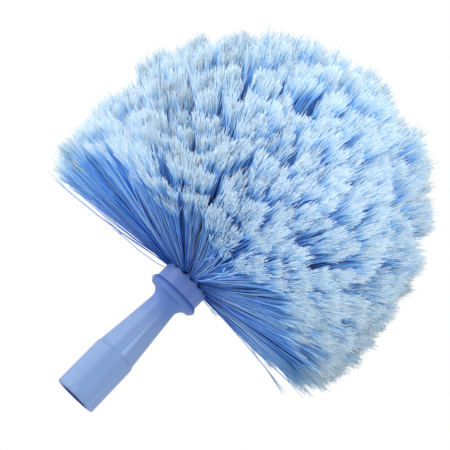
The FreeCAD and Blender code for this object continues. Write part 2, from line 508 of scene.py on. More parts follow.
@dataclass(frozen=True)
class SocketPlastic(MouldedPlastic):
    """The pole socket's plastic, with painted shade in the bore and under the bristles and painted
    highlights on its ribs.

    Args:
        bore: the painted shade inside the bore, where little light gets in.
        bore_radius: how far from the axis the bore's faces lie, in metres.
        bore_depth: how far up from the origin they reach, in metres.
        flange_shade: the colour of the painted shade on the upper taper and flange, under the bristles.
        flange_shade_start: the height where the painted shade begins, in metres.
        flange_shade_full: the height from which it is whole, in metres.
        rib_foot: the height of the ribs' foot, in metres.
        rib_end: the height where the ribs run out, in metres.
        taper_radius: the taper's radius at the ribs' foot, in metres.
        crest_radius: the radius of the ribs' crests there, in metres.
        end_radius: the radius of taper and crests where the ribs run out, in metres.
    """

    bore: Colour
    bore_radius: float
    bore_depth: float
    flange_shade: Colour
    flange_shade_start: float
    flange_shade_full: float
    rib_foot: float
    rib_end: float
    taper_radius: float
    crest_radius: float
    end_radius: float

    # The painted highlight on the ribs' crests: where it starts, how sharply, and how strong.
    CREST_LEVEL: ClassVar[float] = 0.2
    CREST_CONTRAST: ClassVar[float] = 4.0
    CREST_HIGHLIGHT_SHARE: ClassVar[float] = 0.45
    LEAST_STAND: ClassVar[float] = 0.0001

    def walls(self, graph: NodeGraph, plain: Wire, marks: Wire, place: Wire) -> Tuple[Wire, Wire]:
        """Paints shade on the upper taper and flange under the bristles and in the bore, and a highlight on
        the ribs' crests.

        Args:
            graph: the material's nodes.
            plain: the plastic's colour.
            marks: how far it is rubbed, from 0 to 1.
            place: the place on the piece.

        Returns:
            The colour, and how far it is rubbed or painted with the highlight on the ribs' crests.
        """
        height = graph.wire("ShaderNodeSeparateXYZ", "Z", None, {"Vector": place})
        aside = (place * LEVEL).length()
        # Painted shade on the upper taper and flange, growing towards the top, where the bristles overhang.
        flange_shaded = ((height - self.flange_shade_start) / (self.flange_shade_full - self.flange_shade_start)).clamped()
        # Painted shade inside the bore.
        inside = (1 - (aside > self.bore_radius)) * (1 - (height > self.bore_depth))
        colour = graph.mix(inside, graph.mix(flange_shaded, plain, self.flange_shade), self.bore)
        # Painted highlight along the ribs' crests, in the scuff colour, on top of the rubbed marks.
        share = (height - self.rib_foot) / (self.rib_end - self.rib_foot)
        narrowed = (self.end_radius - self.taper_radius) * share
        stand = ((self.crest_radius - self.taper_radius) * (1 - share)).at_least(self.LEAST_STAND)
        proud = (aside - self.taper_radius - narrowed) / stand
        ribbed = (height > self.rib_foot) * (1 - (height > self.rib_end))
        crest = ((proud - self.CREST_LEVEL) * self.CREST_CONTRAST).clamped() * ribbed
        return colour, marks.at_least(crest * self.CREST_HIGHLIGHT_SHARE)


@dataclass(frozen=True)
class BristlePlastic(Finish):
    """Extruded bristle filament: blue stems that turn pale where their ends are split.

    Args:
        name: the material's name.
        deep: (place along the filament, colour) stops of the darkest strands, from root to tip.
        light: the same for the lightest strands.
        root_power: how far the strands keep to the deep colours at the root, where 1 is evenly spread.
        tip_power: the same at the tip.
        roughness: how rough a filament is.
    """

    name: str
    deep: Tuple[Tuple[float, Colour], ...]
    light: Tuple[Tuple[float, Colour], ...]
    root_power: float
    tip_power: float
    roughness: float

    def surface(self, graph: NodeGraph) -> Inputs:
        """Makes the inputs of the surface's shader.

        Args:
            graph: the material's nodes.

        Returns:
            Values and wires by input name.
        """
        strip = graph.wire("ShaderNodeUVMap", "UV", {"uv_map": BRISTLE_MAP})
        across = graph.wire("ShaderNodeSeparateXYZ", "X", None, {"Vector": strip})
        along = graph.wire("ShaderNodeSeparateXYZ", "Y", None, {"Vector": strip})
        strand = (across * STRANDS).floor()
        tone = graph.wire("ShaderNodeTexWhiteNoise", "Value", {"noise_dimensions": "1D"}, {"W": strand})
        deep = graph.wire("ShaderNodeValToRGB", "Color", {"stops": self.deep}, {"Fac": along})
        light = graph.wire("ShaderNodeValToRGB", "Color", {"stops": self.light}, {"Fac": along})
        power = self.root_power - (self.root_power - self.tip_power) * along
        return {
            "Base Color": graph.mix(tone**power, deep, light),
            "Roughness": self.roughness,
            "IOR": PLASTIC_IOR,
        }


@dataclass(frozen=True)
class PackedRoots(Finish):
    """The folded ends of the tufts, packed side by side in their holes.

    Args:
        name: the material's name.
        crest: the colour on top of a filament.
        gap: the colour of the painted shade between filaments.
        roughness: how rough a filament is.
    """

    name: str
    crest: Colour
    gap: Colour
    roughness: float

    FILAMENT_SCALE: ClassVar[float] = 2400.0
    GAP_CONTRAST: ClassVar[float] = 1.4
    BUMP_STRENGTH: ClassVar[float] = 0.5
    BUMP_HEIGHT: ClassVar[float] = 0.0002

    def surface(self, graph: NodeGraph) -> Inputs:
        """Makes the inputs of the surface's shader.

        Args:
            graph: the material's nodes.

        Returns:
            Values and wires by input name.
        """
        place = graph.wire("ShaderNodeTexCoord", "Object")
        packing = {"Vector": place, "Scale": self.FILAMENT_SCALE}
        cells = graph.wire("ShaderNodeTexVoronoi", "Distance", None, packing)
        # Painted shade in the gaps between packed filaments.
        gap = (cells * self.GAP_CONTRAST).at_most(1.0)
        relief = {"Strength": self.BUMP_STRENGTH, "Distance": self.BUMP_HEIGHT, "Height": 1 - gap}
        return {
            "Base Color": graph.mix(gap, self.crest, self.gap),
            "Roughness": self.roughness,
            "Normal": graph.wire("ShaderNodeBump", "Normal", None, relief),
        }


@dataclass(frozen=True)
class DrawnWire(Finish):
    """Bright drawn steel wire with fine marks.

    Args:
        name: the material's name.
        steel: the colour of the clean metal.
        tarnish: the colour of its dull spots.
        roughness: how rough the clean metal is.
        dulling: how much rougher its dull spots are.
    """

    name: str
    steel: Colour
    tarnish: Colour
    roughness: float
    dulling: float

    MARK_SCALE: ClassVar[float] = 1800.0
    MARK_DETAIL: ClassVar[float] = 3.0

    def surface(self, graph: NodeGraph) -> Inputs:
        """Makes the inputs of the surface's shader.

        Args:
            graph: the material's nodes.

        Returns:
            Values and wires by input name.
        """
        place = graph.wire("ShaderNodeTexCoord", "Object")
        marks = graph.noise(place, self.MARK_SCALE, self.MARK_DETAIL)
        return {
            "Base Color": graph.mix(marks, self.steel, self.tarnish),
            "Metallic": 1.0,
            "Roughness": self.roughness + marks * self.dulling,
        }


SOCKET_PLASTIC = SocketPlastic(
    name=Slot.SOCKET.value,
    body=srgb(106, 136, 182),
    flow=srgb(114, 144, 190),
    # The colour of rubbed marks, and of the painted highlight on the ribs' crests.
    scuff_and_highlight=srgb(156, 180, 218),
    scuff_height=0.012,
    roughness=0.42,
    # Painted shade inside the bore.
    bore=srgb(60, 84, 168),
    bore_radius=0.0103,
    bore_depth=0.036,
    # Painted shade on the upper taper and flange, under the bristles.
    flange_shade=srgb(78, 114, 182),
    flange_shade_start=0.058,
    flange_shade_full=0.077,
    rib_foot=0.0356,
    rib_end=0.0699,
    taper_radius=0.012,
    crest_radius=0.0128,
    end_radius=0.0087,
)
DOME_PLASTIC = MouldedPlastic(
    name=Slot.DOME.value,
    body=srgb(86, 118, 186),
    flow=srgb(94, 126, 193),
    scuff_and_highlight=srgb(132, 160, 210),
    scuff_height=0.001,
    roughness=0.4,
)
BRISTLE = BristlePlastic(
    name=Slot.BRISTLE.value,
    deep=(
        (0.0, srgb(34, 90, 200)),
        (0.25, srgb(48, 120, 222)),
        (0.45, srgb(66, 144, 240)),
        (0.6, srgb(76, 156, 250)),
        (0.74, srgb(88, 164, 255)),
        (0.84, srgb(118, 188, 255)),
        (0.94, srgb(168, 217, 255)),
        (1.0, srgb(204, 234, 255)),
    ),
    light=(
        (0.0, srgb(124, 178, 238)),
        (0.25, srgb(182, 222, 252)),
        (0.45, srgb(180, 222, 254)),
        (0.6, srgb(164, 214, 255)),
        (0.74, srgb(150, 205, 255)),
        (0.84, srgb(180, 222, 255)),
        (0.94, srgb(222, 243, 255)),
        (1.0, srgb(244, 251, 255)),
    ),
    root_power=2.4,
    tip_power=1.0,
    roughness=0.42,
)
ROOTS = PackedRoots(name="packed_roots", crest=srgb(62, 112, 190), gap=srgb(24, 46, 110), roughness=0.5)
WIRE = DrawnWire(
    name=Slot.WIRE.value,
    steel=srgb(196, 198, 202),
    tarnish=srgb(150, 152, 158),
    roughness=0.2,
    dulling=0.2,
)


@dataclass
class RigidHead:
    """The rigid head: the socket for the pole, the drilled dome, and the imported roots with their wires.

    Args:
        finishes: the finish of every rigid node.
    """

    finishes: Mapping[str, Finish] = field(
        default_factory=lambda: {
            "pole_socket": SOCKET_PLASTIC,
            "tuft_dome": DOME_PLASTIC,
            "tuft_roots": ROOTS,
            "crown_wire": WIRE,
            "ring_wire_1": WIRE,
            "ring_wire_2": WIRE,
            "ring_wire_3": WIRE,
        }
    )

    def dress(self) -> None:
        """Gives every rigid node its finish."""
        made: Dict[str, bpy.types.Material] = {}
        for name, finish in self.finishes.items():
            if finish.name not in made:
                made[finish.name] = finish.material()
            node = frame["nodes"][name]
            for slot in node.material_slots:
                slot.material = made[finish.name]
            LOG.info("%s keeps its CAD shape and takes %s", name, finish.name)


@dataclass(frozen=True)
class TuftHabit:
    """How filaments lie and taper: the shares, slopes and spans of chance that every tuft has.

    Args:
        end_facing: how squarely a face looks away from the hole, from 0 to 1, to carry tips.
        end_flags: how far from the hole such a face lies at least, in flag lengths.
        swell_scale: how fine the swells of the trimmed face are, in waves to the metre.
        swell_detail: how many finer layers they have.
        swell_middle: the level of that noise where the face stays in place.
        pull_span: the least and most that a filament follows its clump's pull.
        reach_span: the least and most of its length, over its clump's.
        flag_span: the least and most of its split stretch, over the flag length.
        hair_span: the least and most of a split hair's length, over that stretch.
        low_slope: how fast a filament counts as low while its climb goes to 0.
        lowest_climb: the climb, over the length, below which a filament is one of the lowest.
        lowest_slope: how fast it counts as one below that.
        parting_power: how narrow the partings are.
        high_lean: the share of the lean that filaments have that aren't low.
        root_depth: how far below the hole's mouth the roots start, in metres.
        root_spread: how far from the axis a tip lies whose root is one root radius from it, in metres.
        root_jitter: how far a root may lie from its place, in root radii.
        clump_wave: how far a clump sways, over its length.
        sway: how far a filament sways by itself, over its length.
        stray_sway: how much more a stray one does.
        own_way: how far a filament keeps to its own way at its bend, where the rest is its clump's way.
        bend_share: how far along its bend lies.
        draw_in: how far it is drawn in towards the tuft's axis there, over its tip's distance.
        stem_foot: a stem's radius at the root, over its full one.
        stem_flare: how fast it gets its full radius, where 4 is in the filament's first quarter.
        split: where a filament splits along its colours.
        edge: the margin at both ends of its colours.
        strip_start: where the first side of a tube lies across its strand's strip.
        strip_step: how far on the next side lies.
        hair_back: how far inside its stem a hair starts, over the split stretch.
        hair_foot: a hair's radius where it starts, over the hair radius.
        hair_taper: how much less it is at the tip.
        shared_from: how far along a filament the dome's normals begin.
        shared_slope: how fast they take over from there.
    """

    end_facing: float = 0.35
    end_flags: float = 2.0
    swell_scale: float = 60.0
    swell_detail: float = 1.0
    swell_middle: float = 0.55
    pull_span: Tuple[float, float] = (0.8, 1.2)
    reach_span: Tuple[float, float] = (0.985, 1.015)
    flag_span: Tuple[float, float] = (0.8, 1.2)
    hair_span: Tuple[float, float] = (0.78, 1.07)
    low_slope: float = 2.0
    lowest_climb: float = 0.36
    lowest_slope: float = 6.0
    parting_power: float = 6.0
    high_lean: float = 0.3
    root_depth: float = 0.001
    root_spread: float = 0.028
    root_jitter: float = 0.35
    clump_wave: float = 0.03
    sway: float = 0.025
    stray_sway: float = 0.075
    own_way: float = 0.4
    bend_share: float = 0.5
    draw_in: float = 0.12
    stem_foot: float = 0.7
    stem_flare: float = 4.0
    split: float = 0.72
    edge: float = 0.01
    strip_start: float = 0.2
    strip_step: float = 0.3
    hair_back: float = 0.06
    hair_foot: float = 1.15
    hair_taper: float = 0.4
    shared_from: float = 0.5
    shared_slope: float = 3.0


class TuftTree:
    """The Geometry Nodes tree that grows one tuft of filaments to the trimmed face of its solid."""

    VECTOR = "FLOAT_VECTOR"
    VALUE = "FLOAT"
    WHOLE = "INT"
    HABIT = TuftHabit()
    NUMBERS = {
        "Fullness": 0.6,
        "Overlap": 0.06,
        "Swell": 0.07,
        "Root radius": 0.0018,
        "Stem radius": 0.0003,
        "Hair radius": 0.00017,
        "Hair spread": 0.0021,
        "Flag length": 0.013,
        "Density": 270000.0,
        "Clump density": 12000.0,
        "Clump pull": 0.22,
        "Clump lean": 0.003,
        "Shortest clump": 0.92,
        "Longest clump": 1.01,
        "Stray share": 0.05,
        "Stray drop": 0.014,
        "Shared normal": 0.95,
    }
    COUNTS = {"Stem points": 4, "Hairs": 5, "Hair points": 2}
    FITTED = ("Spread radius", "Round height", "Left turn", "Right turn", "Parting lift")
    VECTORS = ("Hole mouth", "Tuft axis", "Tilt", "Swag", "Lean", "Left parting", "Right parting")
    LEAST_SQUARE = 0.0001
    TUBE_SIDES = 3

    def __init__(self) -> None:
        """Builds the tree with its named inputs."""
        self.group = bpy.data.node_groups.new("flagged_tuft", "GeometryNodeTree")
        self.graph = NodeGraph(self.group)
        self.identifiers: Dict[str, str] = {}
        self._add_sockets()
        source = self.graph.node("NodeGroupInput")
        self.inputs = {socket.name: Wire(self.graph, socket) for socket in source.outputs if socket.name}
        grown = self._grow()
        self.graph.node("NodeGroupOutput", None, {"Geometry": grown})

    def _add_sockets(self) -> None:
        face = self.group.interface
        face.new_socket(name="Geometry", in_out="INPUT", socket_type="NodeSocketGeometry")
        face.new_socket(name="Geometry", in_out="OUTPUT", socket_type="NodeSocketGeometry")
        kinds = [(name, "NodeSocketFloat") for name in (*self.FITTED, *self.NUMBERS)]
        kinds += [(name, "NodeSocketInt") for name in (*self.COUNTS, "Seed")]
        kinds += [(name, "NodeSocketVector") for name in self.VECTORS]
        kinds += [("Bristle", "NodeSocketMaterial")]
        for name, kind in kinds:
            self.identifiers[name] = face.new_socket(name=name, in_out="INPUT", socket_type=kind).identifier

    def _store(self, geometry: Wire, name: str, value: Operand, kind: str, domain: str = "POINT") -> Wire:
        """Keeps a value on the geometry under a name.

        Args:
            geometry: the points, curves or mesh.
            name: the attribute's name.
            value: the field to keep.
            kind: the attribute's data type.
            domain: what holds it.

        Returns:
            The geometry with the attribute.
        """
        settings = {"data_type": kind, "domain": domain}
        sockets = {"Geometry": geometry, "Name": name, "Value": value}
        return self.graph.wire("GeometryNodeStoreNamedAttribute", "Geometry", settings, sockets)

    def _kept(self, name: str, kind: str) -> Wire:
        """Reads back an attribute that was kept under a name."""
        settings = {"data_type": kind}
        return self.graph.wire("GeometryNodeInputNamedAttribute", "Attribute", settings, {"Name": name})

    def _random(self, low: Operand, high: Operand, draw: Draw, owner: Optional[Wire] = None) -> Wire:
        """A random number or vector for each element.

        Args:
            low: the least value.
            high: the most.
            draw: which of the draws it is.
            owner: the number that elements with the same draw share, or None for the element's own.

        Returns:
            The random field.
        """
        sockets = {"Min": low, "Max": high, "Seed": self.inputs["Seed"] + draw.value}
        if owner is not None:
            sockets["ID"] = owner
        kind = self.VECTOR if is_vector(low) else self.VALUE
        return self.graph.wire("FunctionNodeRandomValue", "Value", {"data_type": kind}, sockets)

    def _any_way(self, draw: Draw, owner: Optional[Wire] = None) -> Wire:
        """A random vector whose parts lie between -1 and 1."""
        return self._random((-1.0, -1.0, -1.0), (1.0, 1.0, 1.0), draw, owner)

    def _repeat(self, geometry: Wire, amount: Operand) -> Tuple[Wire, Wire]:
        """Repeats every point.

        Args:
            geometry: the points.
            amount: how many there are of each afterwards.

        Returns:
            The points, and each one's number among its copies.
        """
        sockets = {"Geometry": geometry, "Amount": amount}
        node = self.graph.node("GeometryNodeDuplicateElements", {"domain": "POINT"}, sockets)
        return self.graph.out(node, "Geometry"), self.graph.out(node, "Duplicate Index")

    def _moved(self, points: Wire, place: Wire) -> Wire:
        """Moves points to their places."""
        sockets = {"Geometry": points, "Position": place}
        return self.graph.wire("GeometryNodeSetPosition", "Geometry", None, sockets)

    def _turned(self, place: Wire, angle: Wire) -> Wire:
        """Turns a place about the brush's axis by an angle in radians."""
        sockets = {"Vector": place, "Angle": angle}
        return self.graph.wire("ShaderNodeVectorRotate", "Vector", {"rotation_type": "Z_AXIS"}, sockets)

    def _run(self, offset: Wire, heading: Wire) -> Wire:
        """The way along a heading from an offset to the spread radius about the place it is offset from.

        Args:
            offset: where the way starts.
            heading: its direction.

        Returns:
            The way's length over the heading's.
        """
        square = heading.dot(heading).at_least(self.LEAST_SQUARE)
        half = offset.dot(heading) / square
        radius = self.inputs["Spread radius"]
        return (half * half + (radius * radius - offset.dot(offset)) / square) ** 0.5 - half

    def _filled(self, place: Wire) -> Wire:
        """Raises places between the locks towards the trimmed dome and spreads them over the tuft's edges.

        Args:
            place: a place on the tuft's solid.

        Returns:
            The place of the tip that grows there.
        """
        graph, given, habit = self.graph, self.inputs, self.HABIT
        mouth, axis = given["Hole mouth"], given["Tuft axis"]
        straight = (place - mouth).unit()
        heading = (straight + (straight - axis * straight.dot(axis)) * given["Overlap"]).unit()
        centre = graph.rising(given["Round height"])
        round_run = self._run(mouth - centre, heading)
        side_run = self._run(mouth * LEVEL, heading * LEVEL)
        above = (mouth + heading * round_run - centre).dot(UP) > 0.0
        run = side_run + (round_run - side_run) * above
        swell = graph.noise(place, habit.swell_scale, habit.swell_detail) - habit.swell_middle
        reach = run + ((place - mouth).length() - run) * (1 - given["Fullness"])
        return mouth + heading * reach * (1 + swell * given["Swell"])

    def _ends(self) -> Wire:
        """Takes the ends of the solid's locks, whose faces look away from the hole.

        Returns:
            The faces.
        """
        graph, given, habit = self.graph, self.inputs, self.HABIT
        away = graph.wire("GeometryNodeInputPosition", "Position") - given["Hole mouth"]
        facing = graph.wire("GeometryNodeInputNormal", "Normal").dot(away.unit()) > habit.end_facing
        outer = away.length() > given["Flag length"] * habit.end_flags
        sockets = {"Geometry": given["Geometry"], "Selection": facing * outer}
        return graph.wire("GeometryNodeSeparateGeometry", "Selection", {"domain": "FACE"}, sockets)

    def _scattered(self, ends: Wire, density: Wire, seed: Wire) -> Wire:
        """Scatters points over faces.

        Args:
            ends: the faces.
            density: how many points there are to the square metre.
            seed: the seed of the scatter.

        Returns:
            The points.
        """
        settings = {"distribute_method": "RANDOM"}
        sockets = {"Mesh": ends, "Density": density, "Seed": seed}
        return self.graph.wire("GeometryNodeDistributePointsOnFaces", "Points", settings, sockets)

    def _lie(self, aim: Wire, astray: Wire) -> Tuple[Wire, Wire]:
        """Works out how a filament lies: its tilt, swag and lean, its drop if it is stray, and the partings.

        Args:
            aim: the way from the hole to its tip.
            astray: 1 for a stray filament and 0 for the others.

        Returns:
            The tip's shift, and its turn about the brush's axis in radians.
        """
        given, habit = self.inputs, self.HABIT
        climb = aim.unit().dot(UP)
        low = (1 - climb * habit.low_slope).clamped()
        level = (aim * LEVEL).unit()
        fold = level.dot(given["Swag"].unit())
        rise = level.dot(given["Tilt"]) + (2 * fold * fold - 1) * given["Swag"].length()
        rise = rise - astray * self._random(0.0, 1.0, Draw.STRAY_DROP) * given["Stray drop"]
        left = level.dot(given["Left parting"]).at_least(0.0) ** habit.parting_power
        right = level.dot(given["Right parting"]).at_least(0.0) ** habit.parting_power
        rise = (rise + (left + right) * given["Parting lift"]) * low
        leaning = habit.high_lean + (1 - habit.high_lean) * low
        lowest = ((habit.lowest_climb - climb) * habit.lowest_slope).clamped()
        turn = (left * given["Left turn"] + right * given["Right turn"]) * lowest
        return given["Lean"] * leaning + self.graph.rising(rise), turn

    def _tips(self) -> Wire:
        """Spreads the filaments' tips over the ends of the solid's locks and pulls them into clumps.

        Returns:
            One point for each filament, with its root, bend, tip and split kept on it.
        """
        graph, given, habit = self.graph, self.inputs, self.HABIT
        mouth, axis = given["Hole mouth"], given["Tuft axis"]
        place = graph.wire("GeometryNodeInputPosition", "Position")
        filled = self._filled(place)
        ends = self._ends()
        tips = self._scattered(ends, given["Density"], given["Seed"])
        clumps = self._scattered(ends, given["Clump density"], given["Seed"] + Draw.CLUMPS.value)
        search = {"Geometry": clumps, "Sample Position": place}
        nearest = graph.wire("GeometryNodeSampleNearest", "Index", None, search)
        sample = {"Geometry": clumps, "Value": filled, "Index": nearest}
        centre = graph.wire("GeometryNodeSampleIndex", "Value", {"data_type": self.VECTOR}, sample)
        pull = given["Clump pull"]
        pulled = filled + (centre - filled) * pull * self._random(*habit.pull_span, Draw.CLUMP_PULL)
        sunk = self._random(0.0, 1.0, Draw.CLUMP_LENGTH, nearest)
        shortened = (given["Shortest clump"] - given["Longest clump"]) * sunk * sunk
        clump_reach = given["Longest clump"] + shortened
        clump_lean = self._any_way(Draw.CLUMP_LEAN, nearest) * given["Clump lean"]
        reach = self._random(*habit.reach_span, Draw.LENGTH)
        aim = (pulled - mouth) * clump_reach * reach + clump_lean
        clump_aim = (centre - mouth) * clump_reach + clump_lean
        astray = given["Stray share"] > self._random(0.0, 1.0, Draw.STRAY)
        shift, turn = self._lie(aim, astray)
        aim, clump_aim = (self._turned(mouth + way + shift, turn) - mouth for way in (aim, clump_aim))
        spread = aim - axis * aim.dot(axis)
        jitter = self._any_way(Draw.ROOT) * given["Root radius"] * habit.root_jitter
        packed = spread * (given["Root radius"] / habit.root_spread)
        root = mouth - axis * habit.root_depth + packed + jitter
        wave = self._any_way(Draw.CLUMP_WAVE, nearest) * habit.clump_wave
        sway = self._any_way(Draw.SWAY) * (habit.sway + habit.stray_sway * astray)
        midway = (aim * habit.own_way + clump_aim * (1 - habit.own_way)) * habit.bend_share
        bend = root + midway - spread * habit.draw_in + (wave + sway) * aim.length()
        flag = given["Flag length"] * self._random(*habit.flag_span, Draw.SPLIT)
        for name, value, kind in (
            ("root", root, self.VECTOR),
            ("bend", bend, self.VECTOR),
            ("tip", mouth + aim, self.VECTOR),
            ("split", 1 - flag / aim.length(), self.VALUE),
            ("strand", self._random(0.0, STRANDS, Draw.STEM_STRAND).floor(), self.VALUE),
        ):
            tips = self._store(tips, name, value, kind)
        return tips

    def _path(self, share: Wire) -> Wire:
        """The place on a filament's curve.

        Args:
            share: 0 at the root and 1 at the tip.

        Returns:
            The place.
        """
        root, bend, tip = (self._kept(name, self.VECTOR) for name in ("root", "bend", "tip"))
        rest = 1 - share
        return root * (rest * rest) + bend * (2 * share * rest) + tip * (share * share)

    def _tubes(self, points: Wire, owner: str, radius: Wire) -> Wire:
        """Joins points into closed three-sided tubes and maps each one onto its strand's strip.

        Args:
            points: the points, with order, along and strand kept on them.
            owner: the name of the number that the points of one tube share.
            radius: the tube's radius at each point.

        Returns:
            The tubes' mesh.
        """
        graph, habit = self.graph, self.HABIT
        sockets = {
            "Points": points,
            "Curve Group ID": self._kept(owner, self.WHOLE),
            "Weight": self._kept("order", self.VALUE),
        }
        curves = graph.wire("GeometryNodePointsToCurves", "Curves", None, sockets)
        sockets = {"Resolution": self.TUBE_SIDES, "Radius": 1.0}
        ring = graph.wire("GeometryNodeCurvePrimitiveCircle", "Curve", None, sockets)
        ring = self._store(ring, "side", graph.wire("GeometryNodeInputIndex", "Index"), self.VALUE)
        sockets = {"Curve": curves, "Profile Curve": ring, "Scale": radius, "Fill Caps": True}
        mesh = graph.wire("GeometryNodeCurveToMesh", "Mesh", None, sockets)
        side = self._kept("side", self.VALUE) * habit.strip_step
        across = (self._kept("strand", self.VALUE) + habit.strip_start + side) / STRANDS
        along = habit.edge + self._kept("along", self.VALUE) * (1 - 2 * habit.edge)
        strip = graph.wire("ShaderNodeCombineXYZ", "Vector", None, {"X": across, "Y": along})
        return self._store(mesh, BRISTLE_MAP, strip, "FLOAT2", "CORNER")

    def _stems(self, tips: Wire) -> Wire:
        """Grows the solid stem of every filament, from its root to where it splits.

        Args:
            tips: the filaments' points.

        Returns:
            The stems' mesh.
        """
        given, habit = self.inputs, self.HABIT
        points = self._store(tips, "stem", self.graph.wire("GeometryNodeInputIndex", "Index"), self.WHOLE)
        points, number = self._repeat(points, given["Stem points"])
        points = self._store(points, "along", number / (given["Stem points"] - 1), self.VALUE)
        along = self._kept("along", self.VALUE)
        points = self._moved(points, self._path(along * self._kept("split", self.VALUE)))
        points = self._store(points, "order", number, self.VALUE)
        points = self._store(points, "along", along * habit.split, self.VALUE)
        flare = (along * habit.stem_flare).at_most(1.0)
        radius = given["Stem radius"] * (habit.stem_foot + (1 - habit.stem_foot) * flare)
        return self._tubes(points, "stem", radius)

    def _flags(self, tips: Wire) -> Wire:
        """Grows the split hairs at the end of every filament.

        Args:
            tips: the filaments' points.

        Returns:
            The hairs' mesh.
        """
        given, habit = self.inputs, self.HABIT
        hairs, _ = self._repeat(tips, given["Hairs"])
        start = self._path(self._kept("split", self.VALUE))
        onward = self._kept("tip", self.VECTOR) - start
        astray = self._any_way(Draw.HAIR_SPREAD) * given["Hair spread"]
        finish = start + onward * self._random(*habit.hair_span, Draw.HAIR_LENGTH) + astray
        for name, value, kind in (
            ("hair", self.graph.wire("GeometryNodeInputIndex", "Index"), self.WHOLE),
            ("strand", self._random(0.0, STRANDS, Draw.HAIR_STRAND).floor(), self.VALUE),
            ("finish", finish, self.VECTOR),
            ("start", start - onward * habit.hair_back, self.VECTOR),
        ):
            hairs = self._store(hairs, name, value, kind)
        points, number = self._repeat(hairs, given["Hair points"])
        points = self._store(points, "order", number, self.VALUE)
        share = self._kept("order", self.VALUE) / (given["Hair points"] - 1)
        base = self._kept("start", self.VECTOR)
        points = self._moved(points, base + (self._kept("finish", self.VECTOR) - base) * share)
        points = self._store(points, "along", habit.split + share * (1 - habit.split), self.VALUE)
        radius = given["Hair radius"] * (habit.hair_foot - habit.hair_taper * share)
        return self._tubes(points, "hair", radius)

    def _shading(self) -> Wire:
        """Works out the normals: a stem's own, and at the split ends mostly the dome's that they make up.

        Returns:
            The unit normal at each point.
        """
        graph, given, habit = self.graph, self.inputs, self.HABIT
        place = graph.wire("GeometryNodeInputPosition", "Position")
        height = place.dot(UP).at_most(given["Round height"])
        outward = (place - graph.rising(height)).unit()
        frayed = ((self._kept("along", self.VALUE) - habit.shared_from) * habit.shared_slope).clamped()
        share = frayed * given["Shared normal"]
        own = graph.wire("GeometryNodeInputNormal", "Normal")
        return (own * (1 - share) + outward * share).unit()

    def _grow(self) -> Wire:
        """Grows the tuft.

        Returns:
            The mesh of all its filaments.
        """
        graph = self.graph
        tips = self._tips()
        parts = {"Geometry": [self._stems(tips), self._flags(tips)]}
        joined = graph.wire("GeometryNodeJoinGeometry", "Geometry", None, parts)
        smooth = graph.wire("GeometryNodeSetShadeSmooth", "Geometry", None, {"Geometry": joined})
        settings = {"mode": "FREE", "domain": "POINT"}
        sockets = {"Mesh": smooth, "Custom Normal": self._shading()}
        shaded = graph.wire("GeometryNodeSetMeshNormal", "Mesh", settings, sockets)
        real = graph.wire("GeometryNodeRealizeInstances", "Geometry", None, {"Geometry": shaded})
        sockets = {"Geometry": real, "Material": self.inputs["Bristle"]}
        return graph.wire("GeometryNodeSetMaterial", "Geometry", None, sockets)


